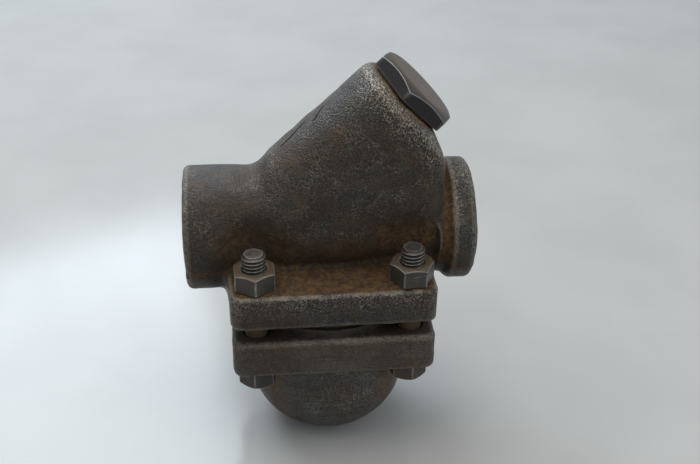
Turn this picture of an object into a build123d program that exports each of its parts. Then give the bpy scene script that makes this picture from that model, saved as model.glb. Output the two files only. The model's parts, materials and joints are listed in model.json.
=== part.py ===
"""Inline steam trap with a built-in Y strainer: forged body, bolted bowl, screwed strainer cap.

Millimetres, +Z up. The origin is the middle of the bowl's flat foot, under the middle of the run.
The run lies along X with its inlet at -X, and the strainer branch leans towards the outlet.
"""
from build123d import *
import math
import os

os.makedirs("parts", exist_ok=True)

# ---- driving dimensions -------------------------------------------------------------------------

# run: the two socket-weld ends on one axis
face_to_face = 117.0
axis_height = 95.0
socket_radius = 25.5
socket_bore_radius = 16.95
socket_bore_depth = 16.0
socket_rim = 2.5
port_radius = 10.0
inlet_socket_end = -30.0
inlet_neck_end = -20.0
inlet_neck_radius = 20.0

# strainer branch
branch_angle = 45.0
branch_foot_x = -23.7
branch_foot_radius = 23.7
branch_end_radius = 20.7
branch_length = 78.0
branch_rim = 4.0
screen_seat_at = 10.0
screen_seat_depth = 3.0
chamber_radius = 12.4

# the web that fills the branch out to the outlet shoulder
shoulder_x = 45.5
shoulder_round = 7.0
chest_half_width = 23.8
chest_widest_at = 6.0
chest_top_half_width = 22.0
neck_half_width = 17.0
neck_round = 12.0

# bolted joint between the body and the bowl
flange_half_length = 41.2
flange_half_depth = 40.0
flange_rear_extra = 4.6
flange_corner = 4.5
flange_edge = 1.6
flange_lower_edge = 1.0
flange_top_drop = 10.2
flange_thickness = 15.3
joint_gap = 6.6
raised_face_radius = 36.5
cover_flange_thickness = 16.4
body_recess_radius = 26.0
body_recess_depth = 6.0

# bowl under the cover flange
bowl_radius = 34.0
bowl_round_height = 26.0
bowl_foot_radius = 10.5
bowl_cavity_radius = 28.0
bowl_floor = 8.0
bowl_cavity_round = 16.0

# flat gasket of the bolted joint
cover_gasket_thickness = 1.5
cover_gasket_inner = 28.5
cover_gasket_outer = 34.5

# 3/8 in bolts with 5/8 in nuts
bolt_half_spacing_x = 31.3
bolt_half_spacing_y = 29.9
bolt_radius = 4.76
bolt_tip_above_axis = 4.4
bolt_tip_chamfer = 0.9
bolt_head_across = 14.3
bolt_head_height = 8.0
bolt_hole_radius = 5.2
nut_across = 15.88
nut_height = 8.2
nut_bevel_share = 0.92
nut_pocket_radius = 12.5
nut_pocket_top_above_axis = 9.0
nut_pocket_round = 6.0
thread_clearance = 0.05

# strainer cap, its gasket and its screen
cap_thread_radius = 13.5
cap_shank_length = 14.0
cap_across = 35.0
cap_head_height = 6.5
cap_bevel_share = 0.93
cap_turn_angle = 6.0
cap_gasket_thickness = 0.8
cap_gasket_radius = 16.0
cap_gasket_clearance = 0.3
cap_socket_depth = 3.0
cap_thread_runout = 1.0
screen_radius = 10.4
screen_wall = 0.6
screen_clearance = 0.05
screen_hole_radius = 1.1
screen_hole_pitch = 4.0
screen_holes_round = 14
screen_plain_end = 5.0

# valve seat, screwed up into the body
seat_hex_across = 17.0
seat_hex_height = 4.0
seat_thread_radius = 6.0
seat_thread_length = 6.0
seat_gasket_thickness = 0.5
seat_gasket_radius = 8.2
orifice_radius = 2.8

# stem with its ball, and the bimetal stack that hangs on it
ball_radius = 4.0
stem_radius = 1.75
valve_lift = 1.5
seating_clearance = 0.05
valve_room_radius = 5.2
valve_room_above_ball = 0.8
disc_count = 12
disc_radius = 12.0
disc_thickness = 1.5
disc_hole_radius = 2.0
disc_edge = 0.3
washer_radius = 5.0
washer_thickness = 1.0
stem_nut_across = 10.0
adjusting_nut_height = 5.0
lock_nut_height = 4.0
stem_tail = 3.0

# drilled ways inside the body
outlet_way_radius = 5.5
outlet_way_start_drop = 8.5
outlet_port_depth = 6.0
drop_way_radius = 3.5
drop_way_x = -4.0
drop_way_y = 13.5
drop_way_top_above_axis = 20.0

# ---- heights and places worked out from them ------------------------------------------------------

half_run = face_to_face / 2
flange_top = axis_height - flange_top_drop
flange_bottom = flange_top - flange_thickness
raised_face_height = (joint_gap - cover_gasket_thickness) / 2
body_face = flange_bottom - raised_face_height
cover_face = body_face - cover_gasket_thickness
cover_flange_top = flange_bottom - joint_gap
cover_flange_bottom = cover_flange_top - cover_flange_thickness
recess_ceiling = flange_bottom + body_recess_depth

seat_hex_top = recess_ceiling - seat_gasket_thickness
seat_hex_bottom = seat_hex_top - seat_hex_height
seat_top = recess_ceiling + seat_thread_length
ball_drop_to_edge = math.sqrt(ball_radius**2 - orifice_radius**2)
ball_height = seat_top + ball_drop_to_edge + seating_clearance
valve_room_top = ball_height + valve_lift + ball_radius + valve_room_above_ball
stack_top = seat_hex_bottom - valve_lift - seating_clearance
stack_bottom = stack_top - disc_count * disc_thickness
washer_bottom = stack_bottom - washer_thickness
adjusting_nut_bottom = washer_bottom - adjusting_nut_height
lock_nut_bottom = adjusting_nut_bottom - lock_nut_height
stem_bottom = lock_nut_bottom - stem_tail

bolt_places = {
    "front_left": (-bolt_half_spacing_x, -bolt_half_spacing_y),
    "front_right": (bolt_half_spacing_x, -bolt_half_spacing_y),
    "rear_left": (-bolt_half_spacing_x, bolt_half_spacing_y),
    "rear_right": (bolt_half_spacing_x, bolt_half_spacing_y),
}
nut_turns = {"front_left": 32.0, "front_right": 2.0, "rear_left": 17.0, "rear_right": 44.0}
head_turns = {"front_left": 20.0, "front_right": 38.0, "rear_left": 5.0, "rear_right": 50.0}

branch_cos = math.cos(math.radians(branch_angle))
branch_sin = math.sin(math.radians(branch_angle))
branch_axis = Axis((branch_foot_x, 0, axis_height), (branch_cos, 0, branch_sin))
cap_head_at = branch_length + cap_gasket_thickness
cap_shank_end = cap_head_at - cap_shank_length


def run_plane(x):
    """The plane square to the run at x, centred on its axis, facing +X."""
    return Plane(origin=(x, 0, axis_height), x_dir=(0, 1, 0), z_dir=(1, 0, 0))


def branch_point(along, across=0.0):
    """X and Z of a point on the branch: along its axis, and across it towards the inlet side."""
    x = branch_foot_x + along * branch_cos - across * branch_sin
    z = axis_height + along * branch_sin + across * branch_cos
    return x, z


def branch_plane(along):
    """The plane square to the branch, centred on its axis, facing outwards."""
    x, z = branch_point(along)
    return Plane(origin=(x, 0, z), x_dir=(-branch_sin, 0, branch_cos), z_dir=(branch_cos, 0, branch_sin))


def bolt_plane(place, z):
    """The level plane at z on the axis of the named bolt."""
    x, y = bolt_places[place]
    return Plane(origin=(x, y, z))


def rounded_plate(half_length, half_depth, height, rear_extra=0.0):
    """A flange plate from the plane z = 0 upwards. Its inlet side may slant out to the rear."""
    with BuildPart() as plate:
        with BuildSketch() as outline:
            Polygon(
                (half_length, -half_depth),
                (half_length, half_depth),
                (-half_length - rear_extra, half_depth),
                (-half_length, -half_depth),
                align=None,
            )
            fillet(outline.vertices(), radius=flange_corner)
        extrude(amount=height)
        fillet(plate.faces().sort_by(Axis.Z)[-1].edges(), radius=flange_edge)
        fillet(plate.faces().sort_by(Axis.Z)[0].edges(), radius=flange_lower_edge)
    return plate.part


def ring(plane, outer, inner, height):
    """A flat ring that stands on a plane."""
    with BuildPart() as flat_ring:
        with BuildSketch(plane):
            Circle(outer)
            Circle(inner, mode=Mode.SUBTRACT)
        extrude(amount=height)
    return flat_ring.part


def hexagon_block(plane, across, height, turn, bevel_low=False, bevel_high=False, bevel_share=0.97):
    """A hexagon that stands on a plane. A 30 degree bevel starts at a share of its half width."""
    corner = across / math.sqrt(3)
    bevel_start = bevel_share * across / 2
    bevel_rise = (corner - bevel_start) * math.tan(math.radians(30))
    low_corner = [(bevel_start, 0), (corner, bevel_rise)] if bevel_low else [(corner, 0)]
    high_corner = [(corner, height)]
    if bevel_high:
        high_corner = [(corner, height - bevel_rise), (bevel_start, height)]
    with BuildPart() as block:
        with BuildSketch(plane):
            RegularPolygon(across / 2, 6, major_radius=False, rotation=turn)
        extrude(amount=height)
        with BuildSketch(Plane(origin=plane.origin, x_dir=plane.x_dir, z_dir=-plane.y_dir)):
            with BuildLine():
                Polyline((0, 0), *low_corner, *high_corner, (0, height), close=True)
            make_face()
        revolve(axis=Axis(plane.origin, plane.z_dir), mode=Mode.INTERSECT)
    return block.part


# ---- forged body ----------------------------------------------------------------------------------

web_end_x, web_end_z = branch_point(branch_length - branch_rim)
shoulder_across = (web_end_x - shoulder_x) / branch_sin
shoulder_top = branch_point(branch_length - branch_rim, shoulder_across)[1]
web_bottom = flange_top - 2.0
web_left_x = branch_foot_x - (axis_height - web_bottom) * branch_cos / branch_sin

with BuildPart() as web:
    with BuildSketch(Plane.XZ):
        with BuildLine():
            Polyline(
                (web_left_x, web_bottom),
                (shoulder_x, web_bottom),
                (shoulder_x, shoulder_top),
                (web_end_x, web_end_z),
                close=True,
            )
        make_face()
    extrude(amount=chest_half_width, both=True)
    # seen along the run: a narrow neck on the flange, widest just over the run, slimmer at the top
    with BuildSketch(Plane.YZ.offset(-half_run)) as end_outline:
        with BuildLine():
            Polyline(
                (neck_half_width, web_bottom),
                (neck_half_width, flange_top),
                (chest_half_width, axis_height + chest_widest_at),
                (chest_top_half_width, web_end_z),
                (-chest_top_half_width, web_end_z),
                (-chest_half_width, axis_height + chest_widest_at),
                (-neck_half_width, flange_top),
                (-neck_half_width, web_bottom),
                close=True,
            )
        make_face()
        fillet(end_outline.vertices().group_by(Axis.Y)[2], radius=neck_round)
    extrude(amount=face_to_face, mode=Mode.INTERSECT)
    # seen from above: the outlet shoulder's corners are round
    with BuildSketch(Plane.XY.offset(web_bottom)) as plan_outline:
        with Locations((shoulder_x - half_run, 0)):
            Rectangle(face_to_face, 2 * chest_half_width)
        fillet(plan_outline.vertices().group_by(Axis.X)[-1], radius=shoulder_round)
    extrude(amount=web_end_z - web_bottom, mode=Mode.INTERSECT)

with BuildPart() as branch:
    with BuildSketch(branch_plane(0)):
        Circle(branch_foot_radius)
    with BuildSketch(branch_plane(branch_length)):
        Circle(branch_end_radius)
    loft()
    fillet(branch.faces().sort_by(branch_axis)[-1].edges(), radius=branch_rim)

body_flange = rounded_plate(flange_half_length, flange_half_depth, flange_thickness, flange_rear_extra)

with BuildPart() as body:
    # both sockets, and the inlet socket's neck down into the chest
    with BuildSketch(run_plane(-half_run)):
        Circle(socket_radius)
    extrude(amount=half_run + inlet_socket_end)
    fillet(body.edges().sort_by(Axis.X)[0], radius=socket_rim)
    with BuildSketch(run_plane(inlet_socket_end)):
        Circle(socket_radius)
    with BuildSketch(run_plane(inlet_neck_end)):
        Circle(inlet_neck_radius)
    loft()
    with BuildSketch(run_plane(half_run)):
        Circle(socket_radius)
    extrude(amount=-(half_run - shoulder_x + shoulder_round))
    fillet(body.edges().sort_by(Axis.X)[-1], radius=socket_rim)
    # strainer branch and the web beside it
    add(branch.part)
    add(web.part)
    # flange and its raised face
    with Locations((0, 0, flange_bottom)):
        add(body_flange)
    with BuildSketch(Plane.XY.offset(body_face)):
        Circle(raised_face_radius)
    extrude(amount=raised_face_height + flange_edge)

    # pockets that let the nuts down beside the chest
    with BuildSketch(Plane.XZ) as pocket_profile:
        with BuildLine():
            Polyline(
                (0, flange_top),
                (nut_pocket_radius, flange_top),
                (nut_pocket_radius, axis_height + nut_pocket_top_above_axis),
                (0, axis_height + nut_pocket_top_above_axis),
                close=True,
            )
        make_face()
        fillet(pocket_profile.vertices().group_by(Axis.Y)[-1].sort_by(Axis.X)[-1], radius=nut_pocket_round)
    nut_pocket = revolve(axis=Axis.Z, mode=Mode.PRIVATE)
    with Locations(*[(x, y, 0) for x, y in bolt_places.values()]):
        add(nut_pocket, mode=Mode.SUBTRACT)
    with BuildSketch(Plane.XY.offset(flange_bottom)):
        with Locations(*bolt_places.values()):
            Circle(bolt_hole_radius)
    extrude(amount=flange_thickness, mode=Mode.SUBTRACT)

    # socket-weld bores and the ports behind them
    for side in (-1, 1):
        with BuildSketch(run_plane(side * half_run)):
            Circle(socket_bore_radius)
        extrude(amount=-side * socket_bore_depth, mode=Mode.SUBTRACT)
    socket_bottom = half_run - socket_bore_depth
    with BuildSketch(run_plane(-socket_bottom)):
        Circle(port_radius)
    extrude(amount=socket_bottom + branch_foot_x, mode=Mode.SUBTRACT)
    with BuildSketch(run_plane(socket_bottom)):
        Circle(port_radius)
    extrude(amount=-outlet_port_depth, mode=Mode.SUBTRACT)

    # strainer bore, from the port out to the cap's thread
    with Locations((branch_foot_x, 0, axis_height)):
        Sphere(port_radius, mode=Mode.SUBTRACT)
    with BuildSketch(branch_plane(0)):
        Circle(port_radius)
    extrude(amount=screen_seat_at, mode=Mode.SUBTRACT)
    with BuildSketch(branch_plane(screen_seat_at)):
        Circle(screen_radius + screen_clearance)
    extrude(amount=screen_seat_depth, mode=Mode.SUBTRACT)
    thread_bottom = cap_shank_end - cap_thread_runout
    with BuildSketch(branch_plane(screen_seat_at + screen_seat_depth)):
        Circle(chamber_radius)
    extrude(amount=thread_bottom - screen_seat_at - screen_seat_depth, mode=Mode.SUBTRACT)
    with BuildSketch(branch_plane(thread_bottom)):
        Circle(cap_thread_radius + thread_clearance)
    extrude(amount=branch_length - thread_bottom, mode=Mode.SUBTRACT)

    # recess under the flange, seat thread, valve room and the two drop ways from the strainer
    with BuildSketch(Plane.XY.offset(body_face)):
        Circle(body_recess_radius)
    extrude(amount=recess_ceiling - body_face, mode=Mode.SUBTRACT)
    with BuildSketch(Plane.XY.offset(recess_ceiling)):
        Circle(seat_thread_radius + thread_clearance)
    extrude(amount=seat_thread_length, mode=Mode.SUBTRACT)
    with BuildSketch(Plane.XY.offset(seat_top)):
        Circle(valve_room_radius)
    extrude(amount=valve_room_top - seat_top, mode=Mode.SUBTRACT)
    with BuildSketch(Plane.XY.offset(recess_ceiling)):
        with Locations((drop_way_x, -drop_way_y), (drop_way_x, drop_way_y)):
            Circle(drop_way_radius)
    extrude(amount=axis_height + drop_way_top_above_axis - recess_ceiling, mode=Mode.SUBTRACT)

    # slanting way from the valve room to the outlet port
    way_run = socket_bottom - outlet_port_depth / 2
    way_angle = math.atan2(outlet_way_start_drop, way_run)
    way_start = Plane(
        origin=(0, 0, axis_height - outlet_way_start_drop),
        x_dir=(0, 1, 0),
        z_dir=(math.cos(way_angle), 0, math.sin(way_angle)),
    )
    with BuildSketch(way_start):
        Circle(outlet_way_radius)
    extrude(amount=math.hypot(way_run, outlet_way_start_drop), mode=Mode.SUBTRACT)
body.part.label = "body"
export_step(body.part, "parts/body.step")

# ---- bowl, its gasket and the bolts ---------------------------------------------------------------

cover_flange = rounded_plate(flange_half_length, flange_half_depth, cover_flange_thickness)

with BuildPart() as cover:
    with Locations((0, 0, cover_flange_bottom)):
        add(cover_flange)
    with BuildSketch(Plane.XY.offset(cover_flange_top - flange_edge)):
        Circle(raised_face_radius)
    extrude(amount=raised_face_height + flange_edge)
    with BuildSketch(Plane.XZ):
        with BuildLine():
            Line((0, 0), (bowl_foot_radius, 0))
            EllipticalCenterArc(
                (bowl_foot_radius, bowl_round_height),
                bowl_radius - bowl_foot_radius,
                bowl_round_height,
                start_angle=270,
                arc_size=90,
            )
            Polyline(
                (bowl_radius, bowl_round_height),
                (bowl_radius, cover_flange_bottom + flange_edge),
                (0, cover_flange_bottom + flange_edge),
                (0, 0),
            )
        make_face()
    revolve(axis=Axis.Z)
    with BuildSketch(Plane.XZ) as cavity_profile:
        with BuildLine():
            Polyline(
                (0, bowl_floor),
                (bowl_cavity_radius, bowl_floor),
                (bowl_cavity_radius, cover_face),
                (0, cover_face),
                close=True,
            )
        make_face()
        fillet(cavity_profile.vertices().sort_by(Axis.Y)[:2].sort_by(Axis.X)[-1], radius=bowl_cavity_round)
    revolve(axis=Axis.Z, mode=Mode.SUBTRACT)
    with BuildSketch(Plane.XY.offset(cover_flange_bottom)):
        with Locations(*bolt_places.values()):
            Circle(bolt_hole_radius)
    extrude(amount=cover_flange_thickness, mode=Mode.SUBTRACT)
cover.part.label = "cover"
export_step(cover.part, "parts/cover.step")

cover_gasket = ring(
    Plane.XY.offset(cover_face),
    cover_gasket_outer,
    cover_gasket_inner,
    cover_gasket_thickness,
)
cover_gasket.label = "cover_gasket"
export_step(cover_gasket, "parts/cover_gasket.step")

for place in bolt_places:
    with BuildPart() as bolt:
        head_plane = bolt_plane(place, cover_flange_bottom - bolt_head_height)
        add(hexagon_block(head_plane, bolt_head_across, bolt_head_height, head_turns[place], bevel_low=True))
        with BuildSketch(bolt_plane(place, cover_flange_bottom)):
            Circle(bolt_radius)
        extrude(amount=axis_height + bolt_tip_above_axis - cover_flange_bottom)
        chamfer(bolt.faces().sort_by(Axis.Z)[-1].edges(), length=bolt_tip_chamfer)
    bolt.part.label = f"bolt_{place}"
    export_step(bolt.part, f"parts/bolt_{place}.step")

    with BuildPart() as nut:
        nut_plane = bolt_plane(place, flange_top)
        add(
            hexagon_block(
                nut_plane,
                nut_across,
                nut_height,
                nut_turns[place],
                bevel_high=True,
                bevel_share=nut_bevel_share,
            )
        )
        with BuildSketch(nut_plane):
            Circle(bolt_radius + thread_clearance)
        extrude(amount=nut_height, mode=Mode.SUBTRACT)
    nut.part.label = f"nut_{place}"
    export_step(nut.part, f"parts/nut_{place}.step")

# ---- strainer cap, its gasket and the screen --------------------------------------------------------

with BuildPart() as strainer_cap:
    add(
        hexagon_block(
            branch_plane(cap_head_at),
            cap_across,
            cap_head_height,
            cap_turn_angle,
            bevel_high=True,
            bevel_share=cap_bevel_share,
        )
    )
    with BuildSketch(branch_plane(cap_shank_end)):
        Circle(cap_thread_radius)
    extrude(amount=cap_shank_length)
    with BuildSketch(branch_plane(cap_shank_end)):
        Circle(screen_radius + screen_clearance)
    extrude(amount=cap_socket_depth, mode=Mode.SUBTRACT)
strainer_cap.part.label = "strainer_cap"
export_step(strainer_cap.part, "parts/strainer_cap.step")

cap_gasket = ring(
    branch_plane(branch_length),
    cap_gasket_radius,
    cap_thread_radius + cap_gasket_clearance,
    cap_gasket_thickness,
)
cap_gasket.label = "cap_gasket"
export_step(cap_gasket, "parts/cap_gasket.step")

screen_bottom = screen_seat_at + screen_clearance
screen_length = cap_shank_end + cap_socket_depth - screen_clearance - screen_bottom
screen_rows = int((screen_length - 2 * screen_plain_end) / screen_hole_pitch) + 1
with BuildPart() as strainer_screen:
    with BuildSketch(branch_plane(screen_bottom)):
        Circle(screen_radius)
        Circle(screen_radius - screen_wall, mode=Mode.SUBTRACT)
    extrude(amount=screen_length)
    for row in range(screen_rows):
        half_step = (row % 2) * 180 / screen_holes_round
        with Locations(branch_plane(screen_bottom + screen_plain_end + row * screen_hole_pitch)):
            with PolarLocations(screen_radius, screen_holes_round, start_angle=half_step):
                Cylinder(screen_hole_radius, 4 * screen_wall, rotation=(0, 90, 0), mode=Mode.SUBTRACT)
strainer_screen.part.label = "strainer_screen"
export_step(strainer_screen.part, "parts/strainer_screen.step")

# ---- valve: seat, stem with its ball, bimetal stack and the nuts that set it --------------------------

with BuildPart() as valve_seat:
    seat_plane = Plane.XY.offset(seat_hex_bottom)
    add(hexagon_block(seat_plane, seat_hex_across, seat_hex_height, 0, bevel_low=True))
    with BuildSketch(Plane.XY.offset(seat_hex_top)):
        Circle(seat_thread_radius)
    extrude(amount=seat_top - seat_hex_top)
    with BuildSketch(seat_plane):
        Circle(orifice_radius)
    extrude(amount=seat_top - seat_hex_bottom, mode=Mode.SUBTRACT)
valve_seat.part.label = "valve_seat"
export_step(valve_seat.part, "parts/valve_seat.step")

seat_gasket = ring(
    Plane.XY.offset(seat_hex_top),
    seat_gasket_radius,
    seat_thread_radius + thread_clearance,
    seat_gasket_thickness,
)
seat_gasket.label = "seat_gasket"
export_step(seat_gasket, "parts/seat_gasket.step")

with BuildPart() as valve_stem:
    with Locations((0, 0, ball_height)):
        Sphere(ball_radius)
    with BuildSketch(Plane.XY.offset(stem_bottom)):
        Circle(stem_radius)
    extrude(amount=ball_height - stem_bottom)
valve_stem.part.label = "valve_stem"
export_step(valve_stem.part, "parts/valve_stem.step")

for number in range(disc_count):
    with BuildPart() as disc:
        with BuildSketch(Plane.XY.offset(stack_top - (number + 1) * disc_thickness)):
            Circle(disc_radius)
            Circle(disc_hole_radius, mode=Mode.SUBTRACT)
        extrude(amount=disc_thickness)
        chamfer(disc.edges().sort_by(SortBy.LENGTH)[-3:-1], length=disc_edge)
    disc.part.label = f"bimetal_disc_{number + 1:02d}"
    export_step(disc.part, f"parts/bimetal_disc_{number + 1:02d}.step")

thrust_washer = ring(Plane.XY.offset(washer_bottom), washer_radius, disc_hole_radius, washer_thickness)
thrust_washer.label = "thrust_washer"
export_step(thrust_washer, "parts/thrust_washer.step")

stem_nuts = {
    "adjusting_nut": (adjusting_nut_bottom, adjusting_nut_height),
    "lock_nut": (lock_nut_bottom, lock_nut_height),
}
for name, (bottom, height) in stem_nuts.items():
    with BuildPart() as stem_nut:
        stem_nut_plane = Plane.XY.offset(bottom)
        add(hexagon_block(stem_nut_plane, stem_nut_across, height, 0, bevel_low=True, bevel_high=True))
        with BuildSketch(stem_nut_plane):
            Circle(stem_radius + thread_clearance)
        extrude(amount=height, mode=Mode.SUBTRACT)
    stem_nut.part.label = name
    export_step(stem_nut.part, f"parts/{name}.step")
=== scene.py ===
"""A rusty forged steam trap with a Y strainer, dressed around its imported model.

Shapes are worked out in millimetres and built in metres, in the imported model's own frame: +Z up,
+X from the inlet to the outlet, and the origin in the middle of the bowl's foot.
"""
import json
import logging
import math
from collections.abc import Callable
from dataclasses import dataclass
from enum import Enum
from itertools import product
from typing import Any

import bmesh
import bpy
import numpy as np
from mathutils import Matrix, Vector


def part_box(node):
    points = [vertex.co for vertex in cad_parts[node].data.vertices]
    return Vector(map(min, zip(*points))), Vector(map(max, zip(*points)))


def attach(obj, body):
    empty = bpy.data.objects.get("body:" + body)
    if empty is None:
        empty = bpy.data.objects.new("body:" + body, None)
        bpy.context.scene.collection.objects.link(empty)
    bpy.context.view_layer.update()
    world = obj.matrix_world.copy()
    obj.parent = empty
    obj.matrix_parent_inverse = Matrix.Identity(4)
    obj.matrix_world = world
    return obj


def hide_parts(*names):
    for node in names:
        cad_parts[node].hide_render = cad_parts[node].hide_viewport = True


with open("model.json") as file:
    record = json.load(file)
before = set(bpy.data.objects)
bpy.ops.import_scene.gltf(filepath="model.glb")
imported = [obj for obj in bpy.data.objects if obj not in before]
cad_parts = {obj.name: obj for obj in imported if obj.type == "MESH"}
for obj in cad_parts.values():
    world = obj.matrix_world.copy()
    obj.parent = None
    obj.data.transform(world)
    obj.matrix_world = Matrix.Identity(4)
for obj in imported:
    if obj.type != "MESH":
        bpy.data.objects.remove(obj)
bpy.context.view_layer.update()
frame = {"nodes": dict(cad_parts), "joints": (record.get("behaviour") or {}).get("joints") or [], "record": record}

import openvdb
from mathutils import Matrix, Vector

log = logging.getLogger("steam_trap")

MM = 0.001
Points = np.ndarray
Values = np.ndarray
Colour = tuple[float, float, float]


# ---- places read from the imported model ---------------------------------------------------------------


class Corner(Enum):
    """The four bolts' places, named as their nodes are."""

    FRONT_LEFT = "front_left"
    FRONT_RIGHT = "front_right"
    REAR_LEFT = "rear_left"
    REAR_RIGHT = "rear_right"


def box_mm(node: str) -> tuple[Vector, Vector]:
    """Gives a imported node's lowest and highest corners, in millimetres."""
    low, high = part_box(node)
    return low / MM, high / MM


@dataclass(frozen=True)
class Places:
    """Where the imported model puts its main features, in millimetres."""

    half_run: float
    run_height: float
    bore_radius: float
    bore_depth: float
    flange_top: float
    flange_high: Vector
    body_face: float
    cover_face: float
    head_bottom: float
    bolt_tip: float
    cap_seat: Vector
    branch_axis: Vector
    cap_gasket_thickness: float
    bolts: dict[Corner, tuple[float, float]]

    @classmethod
    def from_frame(cls) -> "Places":
        """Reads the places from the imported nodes, mounts and joints.

        Returns:
            The places, in millimetres.
        """
        inlet = next(m for m in frame["record"]["mounts"] if m["name"] == "inlet")
        turn = next(j for j in frame["joints"] if j["name"] == "cap_turn")
        gasket_low, gasket_high = box_mm("cover_gasket")
        bolts = {}
        for corner in Corner:
            low, high = box_mm(f"nut_{corner.value}")
            bolts[corner] = ((low.x + high.x) / 2, (low.y + high.y) / 2)
        bolt_low, bolt_high = box_mm("bolt_front_left")
        axis = Vector(turn["axis"]).normalized()
        washer_low, washer_high = box_mm("cap_gasket")
        washer = washer_high - washer_low
        return cls(
            half_run=box_mm("body")[1].x,
            run_height=inlet["pos_m"][2] / MM,
            bore_radius=inlet["dims"]["r_mm"],
            bore_depth=inlet["dims"]["length_mm"],
            flange_top=box_mm("nut_front_left")[0].z,
            flange_high=box_mm("cover")[1],
            body_face=gasket_high.z,
            cover_face=gasket_low.z,
            head_bottom=bolt_low.z,
            bolt_tip=bolt_high.z,
            cap_seat=Vector(turn["pos_m"]) / MM,
            branch_axis=axis,
            cap_gasket_thickness=(washer.x - washer.y * axis.z) / axis.x,
            bolts=bolts,
        )


# ---- fields of distance, from which the forged pieces are skinned ---------------------------------------


def smooth_union(first: Values, second: Values, blend: float) -> Values:
    """Joins two shapes with a fillet.

    Args:
        first: Distances to one shape.
        second: Distances to the other.
        blend: The fillet's reach.

    Returns:
        Distances to both.
    """
    share = np.clip(0.5 + 0.5 * (second - first) / blend, 0, 1)
    return second + (first - second) * share - blend * share * (1 - share)


def smooth_cut(shape: Values, tool: Values, blend: float) -> Values:
    """Cuts one shape out of another and rounds the edge between them by blend."""
    return -smooth_union(-shape, tool, blend)


def rounded_both(first: Values, second: Values, radius: float) -> Values:
    """Keeps what lies in both shapes and rounds the edge between them by radius."""
    inside = np.minimum(-radius, np.maximum(first, second))
    return inside + np.hypot(np.maximum(first + radius, 0), np.maximum(second + radius, 0))


def ease(values: Values, low: float, high: float) -> Values:
    """Rises smoothly from 0 at low to 1 at high."""
    part = np.clip((values - low) / (high - low), 0, 1)
    return part * part * (3 - 2 * part)


def fade(values: Values, low: float, high: float) -> Values:
    """Falls smoothly from 1 at low to 0 at high."""
    return 1 - ease(values, low, high)


def cut_open(depth: Values) -> Values:
    """Rises to 1 where a tool has cut deeper than the forged skin."""
    return ease(depth, 0.9, 1.4)


def rounded_slab(x: Values, y: Values, half_x: float, half_y: float, corner: float) -> Values:
    """Distances to a rectangle with round corners, seen from above.

    Args:
        x: Places along its length.
        y: Places across it.
        half_x: Half its length.
        half_y: Half its width.
        corner: Radius of its corners.

    Returns:
        Distances to its outline.
    """
    out_x = np.abs(x) - (half_x - corner)
    out_y = np.abs(y) - (half_y - corner)
    outside = np.hypot(np.maximum(out_x, 0), np.maximum(out_y, 0))
    return outside + np.minimum(np.maximum(out_x, out_y), 0) - corner


@dataclass(frozen=True)
class Lumps:
    """Smooth random lumps that are the same on each run."""

    seed: int
    cells: int = 24

    def at(self, points: Points, size: float) -> Values:
        """Gives the lumps' height at each point.

        Args:
            points: Places, one to a row.
            size: Distance from one lump to the next.

        Returns:
            Heights from -1 to 1.
        """
        lattice = np.random.default_rng(self.seed).uniform(-1, 1, (self.cells,) * 3)
        lattice = lattice.astype(np.float32)
        place = points / np.float32(size)
        base = np.floor(place).astype(np.int32)
        part = place - base
        part = part * part * (3 - 2 * part)
        total = np.zeros(len(points), np.float32)
        for corner in product((0, 1), repeat=3):
            cell = (base + np.array(corner, np.int32)) % self.cells
            weight = np.prod(np.where(np.array(corner, bool), part, 1 - part), axis=-1)
            total += lattice[cell[:, 0], cell[:, 1], cell[:, 2]] * weight
        return total


Field = Callable[[Points], Values]


def curvature(field: Field, points: Points, step: float) -> Values:
    """Measures how sharply a field bends, above 0 on edges and below 0 in hollows.

    Args:
        field: Distances to the shape.
        points: Where to measure.
        step: Reach of the measure.

    Returns:
        The field's curvature at each point, in 1/mm.
    """
    total = -6 * field(points)
    for way in range(3):
        shift = np.zeros(3, np.float32)
        shift[way] = step
        total += field(points + shift) + field(points - shift)
    return total / step**2


# ---- meshes ----------------------------------------------------------------------------------------


def make_object(name: str, points: Points, faces: list[list[int]]) -> bpy.types.Object:
    """Makes a smooth-shaded object.

    Args:
        name: The piece's name.
        points: Vertices in millimetres.
        faces: Each face's vertices.

    Returns:
        The object, in the scene.
    """
    mesh = bpy.data.meshes.new(name)
    mesh.from_pydata((points * MM).tolist(), [], faces)
    mesh.update()
    mesh.shade_smooth()
    piece = bpy.data.objects.new(name, mesh)
    bpy.context.scene.collection.objects.link(piece)
    return piece


def skin(name: str, field: Field, low: Vector, high: Vector, cell: float) -> bpy.types.Object:
    """Skins a field of distances, and keeps the skin inside a box.

    Args:
        name: The piece's name.
        field: Distances to the shape.
        low: The box's lowest corner.
        high: The box's highest corner.
        cell: The mesh's size.

    Returns:
        A closed mesh object.
    """
    margin = 3 * cell
    axes = [np.arange(a - margin, b + margin + cell, cell, dtype=np.float32) for a, b in zip(low, high)]
    grid = np.stack(np.meshgrid(*axes, indexing="ij"), axis=-1)
    values = field(grid.reshape(-1, 3)).astype(np.float32).reshape(grid.shape[:3])
    volume = openvdb.FloatGrid(float(margin))
    volume.copyFromArray(values)
    volume.transform = openvdb.createLinearTransform(voxelSize=cell)
    points, quads = volume.convertToQuads(isovalue=0.0)
    points = np.clip(points + np.array([a[0] for a in axes]), np.array(low), np.array(high))
    return make_object(name, points, quads.tolist())


def columns_of(count: int) -> Values:
    """Gives the angles of a turned piece's columns."""
    return np.arange(count) * (2 * math.pi / count)


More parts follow.
